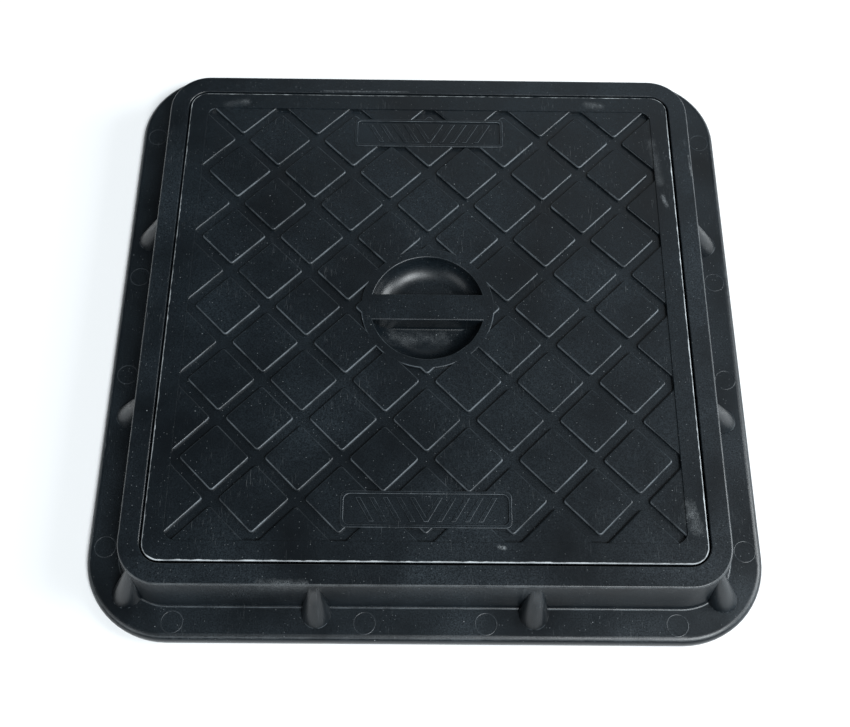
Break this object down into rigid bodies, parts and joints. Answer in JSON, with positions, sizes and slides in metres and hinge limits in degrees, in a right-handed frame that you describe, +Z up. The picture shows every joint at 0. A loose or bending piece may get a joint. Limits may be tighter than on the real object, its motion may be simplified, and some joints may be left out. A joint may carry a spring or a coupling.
{
  "type": "square access cover and frame",
  "caption": "Square moulded plastic access cover: lift-off lid with diamond tread and recessed grip bar, seated in a flanged frame.",
  "frame": {"origin": "centre of the flange's underside, on the ground plane", "axes": "+Z up, the way the lid lifts off; +X and +Y along the sides of the square; front is -Y, so the grip bar runs left to right along X"},
  "size_m": [0.56, 0.56, 0.052],
  "materials": {
    "black_polypropylene": "moulded, satin, lightly scuffed"
  },
  "bodies": {
    "frame": {"frame": "black_polypropylene"},
    "lid": {"lid": "black_polypropylene"}
  },
  "joints": [
    {"name": "lid_lift", "type": "slide", "parent": "frame", "child": "lid", "axis": [0, 0, 1], "range_m": [0, 0.12]}
  ]
}
